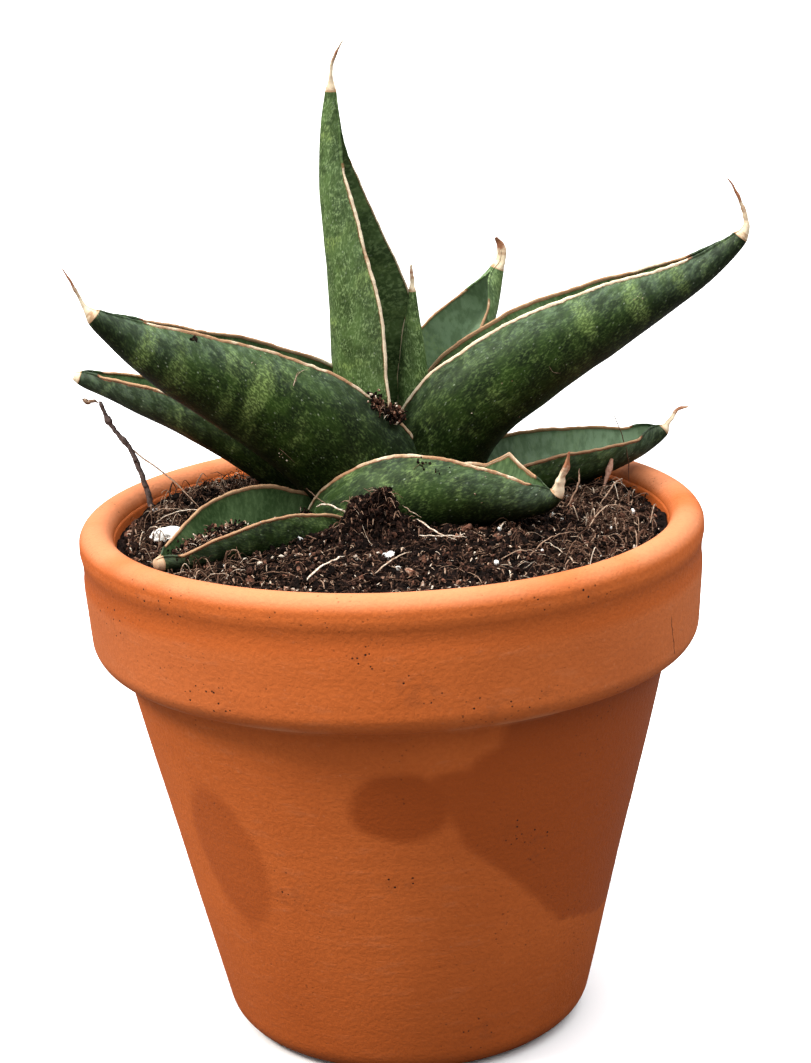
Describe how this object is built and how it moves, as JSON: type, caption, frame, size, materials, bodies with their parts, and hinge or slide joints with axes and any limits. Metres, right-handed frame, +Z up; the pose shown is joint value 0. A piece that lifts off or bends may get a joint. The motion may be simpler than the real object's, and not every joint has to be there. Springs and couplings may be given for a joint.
{
  "type": "potted snake plant",
  "caption": "Tapered terracotta pot filled with soil, holding a rosette of thick channelled leaves with dry curled tips; stands on its flat base as a decorative houseplant.",
  "frame": {"origin": "on the standing surface, under the middle of the whole object's bounding box, about 4 mm to the right of the pot's axis", "axes": "+Z up along the pot's axis, -Y is the front, +X is the side of the longest right-hand leaf"},
  "size_m": [0.1224, 0.11, 0.1753],
  "materials": {
    "terracotta": "matte unglazed fired clay",
    "soil": "damp peat and bark crumbs",
    "crown": "corky rootstock",
    "leaf": "satin waxy leaf skin, paler cross bands, papery margins",
    "perlite": "matte expanded mineral grain",
    "dry_plant": "dry papery stem and sheath"
  },
  "bodies": {
    "root": {"pot": "terracotta", "soil": "soil", "crown": "crown", "leaf_spike": "leaf", "leaf_upright": "leaf", "leaf_right": "leaf", "leaf_left": "leaf", "leaf_back": "leaf", "leaf_low_right": "leaf", "leaf_low_left": "leaf", "leaf_front_right": "leaf", "leaf_front_left": "leaf", "perlite_large": "perlite", "perlite_front": "perlite", "perlite_back": "perlite", "dead_twig": "dry_plant", "dry_sheath": "dry_plant"}
  },
  "joints": []
}
